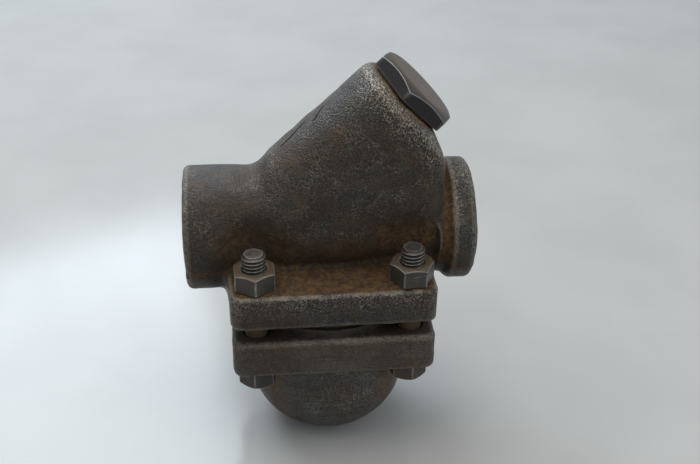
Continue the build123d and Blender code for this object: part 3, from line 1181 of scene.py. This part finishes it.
        # Rust gathers on the flange, round the bolts, in the outlet's valley, under the cap and in the gap.
        above = ease(z, top - 0.9, top - 0.2)
        low = fade(z, height + 4, height + 15) * (z > top - 1)
        rust = [
            0.95 * above * fade(z, top + 0.5, top + 5),
            0.60 * above * fade(z, top + 4, height + 12) * fade(np.abs(x), 30, 50),
            fade(np.abs(x - self.outlet_valley + 0.6), 0.8, 4.0) * (z > top),
            0.95 * ease(along, end - 1.2, end - 0.2) * fade(np.hypot(across, y), 18.5, 21.5),
            0.60 * gap,
        ]
        for (bolt_x, _), away in zip(bolts, from_bolts):
            rust.append(fade(away, 12, 21) * low * (1.0 if bolt_x > 0 else 0.6))
        store(piece, "rust", np.max(rust, axis=0))

    def build(self) -> bpy.types.Object:
        """Skins the forging, bores it and stores its weathering.

        Returns:
            The body, as one closed mesh.
        """
        low, high = box_mm("body")
        piece = skin("body_forging", self.forged, low, high, self.cell)
        holes = self.joint.holes(self.places, self.flange_bottom, self.places.flange_top)
        cut(piece, [self.run_bore(-1), self.run_bore(1), self.branch_bore(), *self.valve_bores(), *holes])
        cut(piece, self.line_cuts())
        crisp(piece, 42)
        self.weather(piece)
        return piece


# ---- bowl ----------------------------------------------------------------------------------------------


@dataclass(frozen=True)
class Bowl:
    """The round bowl and the lower flange, in one forging."""

    places: Places
    joint: BoltedJoint
    cell: float = 0.92
    flange_thickness: float = 16.4
    flange_edge: float = 2.2
    bowl_radius: float = 34.0
    round_height: float = 26.0
    foot_radius: float = 10.5
    cavity_radius: float = 28.0
    cavity_round: float = 16.0
    floor: float = 8.0
    lump_depth: float = 3.0

    @property
    def flange_top(self) -> float:
        """The lower flange's upper side, under its raised face."""
        return self.places.cover_face - self.joint.raised_height

    @property
    def flange_bottom(self) -> float:
        """The lower flange's underside."""
        return self.flange_top - self.flange_thickness

    def smooth(self, points: Points) -> Values:
        """Distances to the bowl without its lumps.

        Args:
            points: Places, one to a row.

        Returns:
            Distances to the bowl.
        """
        x, y, z = points.T
        off_axis = np.hypot(x, y)
        middle = (self.flange_top + self.flange_bottom) / 2
        plate = self.joint.plate(points, self.flange_bottom, self.flange_top, 0.0, self.flange_edge)
        round_reach = self.bowl_radius - self.foot_radius
        out = np.maximum(off_axis - self.foot_radius, 0) / round_reach
        down = np.maximum(self.round_height - z, 0) / self.round_height
        curve = (np.hypot(out, down) - 1) * round_reach
        lower = np.where(off_axis > self.foot_radius, curve, -z)
        wall = np.where(z < self.round_height, lower, off_axis - self.bowl_radius)
        shell = np.maximum(wall, z - middle)
        whole = smooth_union(shell, plate, 3.0)
        face = np.maximum(off_axis - self.joint.raised_radius, z - self.places.cover_face)
        return np.minimum(whole, np.maximum(face, middle - z))

    def forged(self, points: Points) -> Values:
        """Distances to the bowl with its lumps and the drawn marks of its flange's sides.

        Args:
            points: Places, one to a row.

        Returns:
            Distances to the bowl, exact only near its skin.
        """
        field = self.smooth(points)
        near = np.abs(field) < self.lump_depth
        spots = points[near]
        z = spots[:, 2]
        lumps = Lumps(7).at(spots, 12.0) * 0.20 + Lumps(8).at(spots, 4.6) * 0.12
        sides = np.abs(z - self.flange_top + 8.0) < 9.5
        marks = Lumps(9).at(spots * np.array([0.12, 0.12, 1], np.float32), 1.9) * 0.17 * sides
        plain = (z > self.flange_top + 0.3) | (z < 0.8)
        field[near] += np.where(plain, 0.0, lumps + marks + 0.08)
        return field

    def weather(self, piece: bpy.types.Object) -> None:
        """Stores where the bowl is worn, rusty, grimy and machined, and where highlight and shade are painted on.

        Args:
            piece: The hollowed bowl.
        """
        points = vertices_of(piece)
        x, y, z = points.T
        bottom, top = self.flange_bottom, self.flange_top
        bend = curvature(self.smooth, points, 1.2)
        bare = cut_open(-self.smooth(points))
        store(piece, "bare", bare)
        store(piece, "wear", ease(bend, 0.16, 0.50) * (1 - bare) * 0.55)

        below = fade(z, bottom - 2, bottom)
        # Painted highlight: more bright flecks on the bowl's right side, which faces the light.
        store(piece, "polish", (0.12 + 0.28 * ease(x, -12, 20) * below) * (1 - bare))

        # Painted shade: darker in the gap between the flanges, towards the top of the bowl and on the lower
        # flange, and on the bowl's left side; darker in the hollows too.
        gap = ease(z, top - 0.6, top + 0.4)
        shade = 0.34 * ease(z, 30, 46) + 0.22 * fade(x, -26, -4)
        store(piece, "grime", np.max([ease(-bend, 0.10, 0.50) * 0.7, gap, shade], axis=0))

        rust = [
            0.60 * gap,
            0.45 * fade(np.abs(z - top + 3), 1, 5),
            0.30 * fade(x, -30, -6) * fade(z, 6, 30),
            0.28 * (1 - below),
        ]
        under = fade(z, bottom, bottom + 1.5)
        for bolt_x, bolt_y in self.places.bolts.values():
            rust.append(0.8 * fade(np.hypot(x - bolt_x, y - bolt_y), 8, 15) * under)
        store(piece, "rust", np.max(rust, axis=0))

    def build(self) -> bpy.types.Object:
        """Skins the bowl, hollows it and drills it.

        Returns:
            The bowl, as one closed mesh.
        """
        low, high = box_mm("cover")
        piece = skin("bowl_forging", self.forged, low, high, self.cell)
        arc = [math.radians(a) for a in range(-90, 1, 9)]
        flat = self.cavity_radius - self.cavity_round
        rise = self.floor + self.cavity_round
        rows = [(flat + self.cavity_round * math.cos(a), rise + self.cavity_round * math.sin(a)) for a in arc]
        rows += broken_edge(self.cavity_radius, self.places.cover_face, 0.5)
        tools = [turned("cavity", rows, upright(0, 0, 0))]
        tools += self.joint.holes(self.places, self.flange_bottom, self.flange_top)
        cut(piece, tools)
        crisp(piece, 42)
        self.weather(piece)
        return piece


# ---- hexagons, bolts and nuts -----------------------------------------------------------------------------


@dataclass(frozen=True)
class Hexagon:
    """A hexagon with softened corners and a conical bevel."""

    across: float
    softness: float = 70.0
    bevel_share: float = 0.97
    bevel_degrees: float = 30.0

    def radius(self, count: int) -> Values:
        """Gives its radius at each column. A corner lies at the first column.

        Args:
            count: Columns round the axis.

        Returns:
            One radius a column.
        """
        angle = columns_of(count) - math.radians(30)
        flats = np.abs(np.cos(angle[:, None] - np.arange(3) * math.pi / 3))
        return self.across / 2 / (flats**self.softness).sum(1) ** (1 / self.softness)

    def corner_wear(self, count: int) -> Values:
        """Gives how worn each column is: its corners are."""
        radius = self.radius(count)
        return ease(radius / radius.max(), 0.975, 1.0)

    def bevelled_end(self, height: float, count: int, outwards: float) -> tuple[list, list]:
        """Gives the rows from the flats over the bevel to the end's flat face.

        Args:
            height: Height of the flat face.
            count: Columns.
            outwards: 1 if the face looks up, or -1 if it looks down.

        Returns:
            The rows, from the flats to the face, and how worn each is.
        """
        slope = math.tan(math.radians(self.bevel_degrees))
        start = self.bevel_share * self.across / 2
        radius = self.radius(count)
        drop = np.maximum(radius - start, 0.0) * slope
        corner = self.corner_wear(count)
        edge, soft = 0.14, 0.35
        sides = [
            (radius, drop + soft),
            (radius, drop + edge),
            (radius - edge * 0.6, drop - edge * 0.1),
            (np.maximum(radius - soft, start * 0.995), np.maximum(radius - soft - start, 0) * slope),
            (start * 0.99, 0.0),
        ]
        rows = [(out, height - outwards * inwards) for out, inwards in sides]
        wear = [corner * 0.35, np.maximum(corner * 0.7, 0.45), 0.75, 0.1, 0.0]
        return rows, wear


@dataclass(frozen=True)
class Thread:
    """An outside thread, cut as a real helix."""

    radius: float
    pitch: float
    depth: float

    def rows(self, low: float, high: float, count: int, chamfer: float = 0.0) -> tuple[list, list]:
        """Gives the thread's rows.

        Args:
            low: Where the thread starts.
            high: Where it ends.
            count: Columns.
            chamfer: How far the end is turned down.

        Returns:
            The rows, and how worn each is: the crests are.
        """
        rows, wear = [], []
        steps = max(8, round((high - low) / self.pitch * 12))
        angle = columns_of(count)
        for z in np.linspace(low, high, steps):
            phase = np.mod(z / self.pitch - angle / (2 * math.pi), 1.0)
            flank = np.clip(np.abs(2 * phase - 1) * 1.3 - 0.12, 0, 1)
            fade = min(1.0, (z - low) / self.pitch + 0.15)
            radius = self.radius - self.depth * (1 - flank) * fade
            limit = self.radius - max(0.0, z - (high - chamfer))
            rows.append((np.minimum(radius, limit), z))
            wear.append(ease(flank, 0.75, 1.0) * 0.55)
        return rows, wear


@dataclass(frozen=True)
class Fasteners:
    """The four bolts with their nuts."""

    places: Places
    bolt_radius: float = 4.76
    head: Hexagon = Hexagon(14.3)
    nut: Hexagon = Hexagon(15.88, 60.0, 0.92)
    head_height: float = 8.0
    nut_height: float = 8.2
    clearance: float = 0.05
    tip_chamfer: float = 0.9
    pitch: float = 1.5875
    columns: int = 96

    @property
    def turns(self) -> dict[Corner, tuple[float, float]]:
        """How far each head and each nut is turned, in degrees."""
        return {
            Corner.FRONT_LEFT: (20.0, 32.0),
            Corner.FRONT_RIGHT: (38.0, 2.0),
            Corner.REAR_LEFT: (5.0, 17.0),
            Corner.REAR_RIGHT: (50.0, 44.0),
        }

    def bolt(self, corner: Corner) -> bpy.types.Object:
        """Turns one bolt, head down.

        Args:
            corner: Which bolt.

        Returns:
            The bolt.
        """
        places, count = self.places, self.columns
        low = places.head_bottom
        length = places.bolt_tip - low
        down, down_wear = self.head.bevelled_end(0.0, count, -1)
        rows = [(1.2, 0.0), (1.25, 0.0)] + down[::-1]
        wear = [0.0, 0.0] + down_wear[::-1]
        outer = self.head.radius(count)
        corner_wear = self.head.corner_wear(count)
        rows += [(outer, self.head_height - 0.15), (outer - 0.12, self.head_height)]
        wear += [corner_wear * 0.6, 0.7]
        rows += [(self.bolt_radius + 0.5, self.head_height), (self.bolt_radius, self.head_height + 0.5)]
        wear += [0.0, 0.0]
        thread_low = places.flange_top - low - 1.0
        shank = np.linspace(self.head_height + 1.5, thread_low, 24)
        rows += [(self.bolt_radius, height) for height in shank]
        wear += [0.0] * len(shank)
        thread = Thread(self.bolt_radius, self.pitch, 0.95)
        more, more_wear = thread.rows(thread_low + 0.1, length - 0.02, count, self.tip_chamfer)
        rows, wear = rows + more, wear + more_wear
        tip = self.bolt_radius - self.tip_chamfer
        rows += [(tip - 0.1, length), (tip - 0.5, length - 0.04)]
        rows += [(tip * 0.45, length - 0.10), (0.3, length - 0.14)]
        wear += [1.0, 0.35, 0.1, 0.3]
        x, y = places.bolts[corner]
        place = upright(x, y, low, self.turns[corner][0])
        piece = turned(f"bolt_{corner.value}_turned", rows, place, count, wear=wear)
        crisp(piece, 38)
        z = vertices_of(piece)[:, 2]
        gap = fade(np.abs(z - (places.body_face + places.cover_face) / 2), 4.0, 7.0)
        head_rust = (0.45 if x > 0 else 0.0) * fade(z, low, low + self.head_height)
        store(piece, "rust", np.maximum(gap, head_rust))
        return piece

    def hex_nut(self, corner: Corner) -> bpy.types.Object:
        """Turns one nut.

        Args:
            corner: Which bolt it is on.

        Returns:
            The nut.
        """
        count, height, seat = self.columns, self.nut_height, self.places.flange_top
        outer, corner_wear = self.nut.radius(count), self.nut.corner_wear(count)
        hole = self.bolt_radius + self.clearance
        up, up_wear = self.nut.bevelled_end(height, count, 1)
        rows = [(hole + 0.7, 0.0), (outer - 0.35, 0.0), (outer, 0.35), (outer, 2.0), (outer, 4.5)] + up
        wear = [0.0, 0.4, corner_wear * 0.8, corner_wear * 0.7, corner_wear * 0.9] + up_wear
        rows += [(hole + 1.1, height), (hole + 0.9, height - 0.1), (hole, height - 0.9), (hole, 0.7)]
        wear += [0.0, 0.6, 0.1, 0.0]
        x, y = self.places.bolts[corner]
        place = upright(x, y, seat, self.turns[corner][1])
        piece = turned(f"nut_{corner.value}_turned", rows, place, count, ring=True, wear=wear)
        crisp(piece, 38)
        point_x, point_y, z = vertices_of(piece).T
        top = ease(z, seat + height - 1.2, seat + height)
        inner = np.hypot(point_x - x, point_y - y) < hole + 2.5
        base = fade(z, seat, seat + 1.6)
        store(piece, "rust", np.maximum(base * 0.6, top * np.where(inner, 0.9, 0.6)))
        return piece


# ---- strainer cap ----------------------------------------------------------------------------------------


@dataclass(frozen=True)
class StrainerCap:
    """The screwed hexagon cap of the strainer branch."""

    places: Places
    body: ForgedBody
    head: Hexagon = Hexagon(35.0, 110.0, 0.93)
    head_height: float = 6.5
    shank_length: float = 14.0
    thread: Thread = Thread(13.5, 2.0, 1.1)
    socket_radius: float = 10.45
    socket_depth: float = 3.0
    turn_degrees: float = 6.0
    columns: int = 144

    def build(self) -> bpy.types.Object:
        """Turns the cap with its thread, its screen socket and its lathe centre.

        Returns:
            The cap.
        """
        count, shank, height = self.columns, self.shank_length, self.head_height
        outer, corner = self.head.radius(count), self.head.corner_wear(count)
        radius, socket = self.thread.radius, self.socket_radius
        deep = self.socket_depth
        rows = [(0.5, deep), (socket - 0.3, deep), (socket, deep - 0.3)]
        rows += [(socket, 0.4), (socket + 0.4, 0.0), (radius - 1.6, 0.0)]
        wear = [0.0] * 4 + [0.4, 0.3]
        thread, thread_wear = self.thread.rows(0.5, shank - 1.8, count)
        rows, wear = rows + thread, wear + thread_wear
        rows += [(radius - 1.1, shank - 1.6), (radius - 1.1, shank), (outer - 0.5, shank)]
        rows += [(outer, shank + rise) for rise in (0.4, 0.8, 2.2)]
        wear += [0.0, 0.0, 0.1, 0.15, corner * 0.15, corner * 0.25]
        up, up_wear = self.head.bevelled_end(shank + height, count, 1)
        rows, wear = rows + up, wear + up_wear
        top = shank + height
        shares = (0.7, 0.45, 0.2)
        rows += [(self.head.across / 2 * share, top) for share in shares]
        wear += [0.0] * len(shares)
        rows += [(1.15, top), (0.95, top - 0.12), (0.35, top - 0.85), (0.1, top - 0.9)]
        wear += [0.1, 0.4, 0.0, 0.0]
        seat = self.body.branch_end + self.places.cap_gasket_thickness
        place = self.body.branch_place(seat - shank)
        place = place @ Matrix.Rotation(math.radians(self.turn_degrees), 4, "Z")
        piece = turned("strainer_cap_turned", rows, place, count, wear=wear)
        crisp(piece, 40)
        x, _, z = vertices_of(piece).T
        along, _ = self.body.along_and_across(x, z)
        store(piece, "rust", 0.9 * fade(along, seat + 0.1, seat + 0.5) * (along > seat - 1))
        store(piece, "face", ease(along, seat + height - 0.35, seat + height - 0.1))
        return piece


@dataclass(frozen=True)
class CapSteel:
    """Blackened sides and a brownish, faintly heat-stained turned face."""

    name: str
    side: Colour = (0.017, 0.015, 0.014)
    face: Colour = (0.104, 0.073, 0.045)
    violet: Colour = (0.088, 0.061, 0.050)
    worn: Colour = (0.62, 0.60, 0.57)
    rust: Colour = (0.16, 0.068, 0.022)
    pitted: Colour = (0.03, 0.02, 0.015)
    roughness: float = 0.34
    metallic: float = 0.30

    def material(self) -> bpy.types.Material:
        """Builds the material.

        Returns:
            A material that reads wear, rust and face from the vertices.
        """
        kit = Kit(self.name)
        grain = kit.noise(2.6, 3.0, 0.6)
        cloud = kit.noise(0.10, 3.0, 0.6)
        specks = kit.noise(1.1, 3.0, 0.7)
        wear, rust, face = kit.stored("wear"), kit.stored("rust"), kit.stored("face")
        top = kit.mix(self.face, self.violet, cloud.between(0.46, 0.64))
        colour = kit.mix(self.side, top, face)
        colour = kit.shaded(colour, 0.62 + grain * 0.42 + cloud * 0.32)
        colour = kit.mix(colour, self.pitted, specks.between(0.66, 0.74) * 0.7)
        rusty = (rust * (0.35 + specks * 1.2)).clamped()
        colour = kit.mix(colour, self.rust, rusty * 0.85)
        worn = (wear * (grain * 1.5 + cloud * 1.1 - 0.6)).clamped()
        colour = kit.mix(colour, self.worn, worn * 0.8)
        sockets = {
            "Base Color": colour,
            "Roughness": (self.roughness + grain * 0.14 + rusty * 0.35 - worn * 0.08).clamped(),
            "Metallic": (self.metallic * (1 - rusty) + worn * 0.3).clamped(),
            "Normal": kit.bumped(grain * 0.6 + cloud * 0.4 - specks * 0.15, 0.07),
        }
        return kit.finish(sockets)


# ---- studio ----------------------------------------------------------------------------------------------


@dataclass(frozen=True)
class Lamp:
    """A soft rectangular light that looks at the object. Lengths are metres."""

    name: str
    place: tuple[float, float, float]
    size: tuple[float, float]
    power: float
    colour: Colour

    def hang(self, target: Vector) -> None:
        """Hangs the light and aims it at the target.

        Args:
            target: Where the light looks.
        """
        data = bpy.data.lights.new(self.name, "AREA")
        data.shape = "RECTANGLE"
        data.size, data.size_y = self.size
        data.energy = self.power
        data.color = self.colour
        light = bpy.data.objects.new(self.name, data)
        light.location = self.place
        light.rotation_euler = (target - Vector(self.place)).to_track_quat("-Z", "Y").to_euler()
        bpy.context.scene.collection.objects.link(light)


@dataclass(frozen=True)
class Studio:
    """The camera, the pale floor and the soft light. Lengths are metres."""

    places: Places
    azimuth: float = -6.68
    elevation: float = 30.55
    roll: float = 0.98
    distance: float = 0.4263
    lens: float = 52.1
    target_x: float = 0.00968
    target_drop: float = 0.00547
    floor_half: float = 3.0
    sky: Colour = (0.88, 0.94, 1.0)
    sky_strength: float = 0.50

    def lamps(self) -> list[Lamp]:
        """Gives the lights: a cool window behind on the left, and two soft fills.

        Returns:
            The lights.
        """
        return [
            Lamp("window", (-0.42, 0.95, 0.85), (0.75, 0.60), 11.0, (0.76, 0.88, 1.0)),
            Lamp("overhead", (-0.15, -0.05, 1.15), (0.9, 0.9), 6.4, (1.0, 0.95, 0.87)),
            Lamp("fill", (0.95, -0.55, 0.70), (0.8, 0.8), 2.6, (0.84, 0.92, 1.0)),
        ]

    def camera(self) -> None:
        """Makes the camera and aims it."""
        target = Vector((self.target_x, 0, self.places.run_height * MM - self.target_drop))
        turn, lift, roll = (math.radians(a) for a in (self.azimuth, self.elevation, self.roll))
        back = Vector((math.sin(turn) * math.cos(lift), -math.cos(turn) * math.cos(lift), math.sin(lift)))
        right = (-back).cross(Vector((0, 0, 1))).normalized()
        up = right.cross(-back)
        rolled_right = right * math.cos(roll) + up * math.sin(roll)
        rolled_up = up * math.cos(roll) - right * math.sin(roll)
        data = bpy.data.cameras.new("camera")
        data.lens = self.lens
        data.sensor_width = 36.0
        data.clip_start, data.clip_end = 0.01, 20.0
        camera = bpy.data.objects.new("camera", data)
        camera.matrix_world = Matrix.Translation(target + back * self.distance) @ Matrix(
            (rolled_right, rolled_up, back)
        ).transposed().to_4x4()
        bpy.context.scene.collection.objects.link(camera)
        bpy.context.scene.camera = camera

    def build(self) -> None:
        """Builds the camera, the floor, the lights and the soft surroundings."""
        self.camera()
        half = self.floor_half / MM
        corners = np.array([(-half, -half, 0), (half, -half, 0), (half, half, 0), (-half, half, 0)], float)
        floor = make_object("floor", corners, [[0, 1, 2, 3]])
        dress(floor, PaleFloor().material())
        target = Vector((0, 0, self.places.run_height * MM))
        for lamp in self.lamps():
            lamp.hang(target)
        world = bpy.data.worlds.new("surroundings")
        world.use_nodes = True
        backdrop = world.node_tree.nodes["Background"]
        backdrop.inputs["Color"].default_value = (*self.sky, 1.0)
        backdrop.inputs["Strength"].default_value = self.sky_strength
        scene = bpy.context.scene
        scene.world = world
        scene.view_settings.view_transform = "Standard"


# ---- the whole trap ----------------------------------------------------------------------------------------


def dress_inside() -> None:
    """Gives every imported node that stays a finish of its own."""
    stainless = BrightMetal("stainless", (0.56, 0.55, 0.53), (0.40, 0.34, 0.27)).material()
    valve = BrightMetal("valve_steel", (0.50, 0.49, 0.47), (0.33, 0.29, 0.25), 0.24).material()
    bimetal = BrightMetal("bimetal", (0.58, 0.53, 0.45), (0.40, 0.31, 0.22), 0.32).material()
    washer = GasketSheet("gasket_metal", (0.10, 0.055, 0.028), (0.045, 0.026, 0.016), 0.3).material()
    graphite = GasketSheet("gasket_graphite", (0.05, 0.05, 0.052), (0.025, 0.024, 0.024), 0.1).material()
    finishes = {
        "strainer_screen": stainless,
        "valve_seat": valve,
        "valve_stem": valve,
        "thrust_washer": valve,
        "adjusting_nut": valve,
        "lock_nut": valve,
        "cap_gasket": washer,
        "seat_gasket": washer,
        "cover_gasket": graphite,
    }
    for name, node in frame["nodes"].items():
        if name.startswith("bimetal_disc"):
            finishes[name] = bimetal
        if name in finishes:
            dress(node, finishes[name])
            log.info("%s: packed node, dressed in %s", name, finishes[name].name)


def main() -> None:
    """Builds the trap, piece by piece, and the studio around it."""
    places = Places.from_frame()
    Studio(places).build()
    joint = BoltedJoint()

    body = ForgedBody(places, joint)
    body_finish = ForgedSteel("forged_steel").material()
    place_piece(body.build(), body_finish, "trap_body", "body")

    bowl_tones = {"steel": (0.062, 0.060, 0.055), "brown": (0.044, 0.036, 0.029)}
    bowl_finish = ForgedSteel("bowl_steel", **bowl_tones, roughness=0.38, streaks=0.5).material()
    place_piece(Bowl(places, joint).build(), bowl_finish, "trap_body", "cover")

    fasteners = Fasteners(places)
    bolt_finish = MachinedSteel("bolt_steel", rusted=0.3).material()
    nut_finish = MachinedSteel("nut_steel", steel=(0.065, 0.062, 0.055), rusted=0.4).material()
    for corner in Corner:
        place_piece(fasteners.bolt(corner), bolt_finish, "trap_body", f"bolt_{corner.value}")
        place_piece(fasteners.hex_nut(corner), nut_finish, "trap_body", f"nut_{corner.value}")

    cap = StrainerCap(places, body).build()
    place_piece(cap, CapSteel("cap_steel").material(), "cap", "strainer_cap")

    dress_inside()


if __name__ == "__main__":
    logging.basicConfig(level=logging.INFO)
    main()
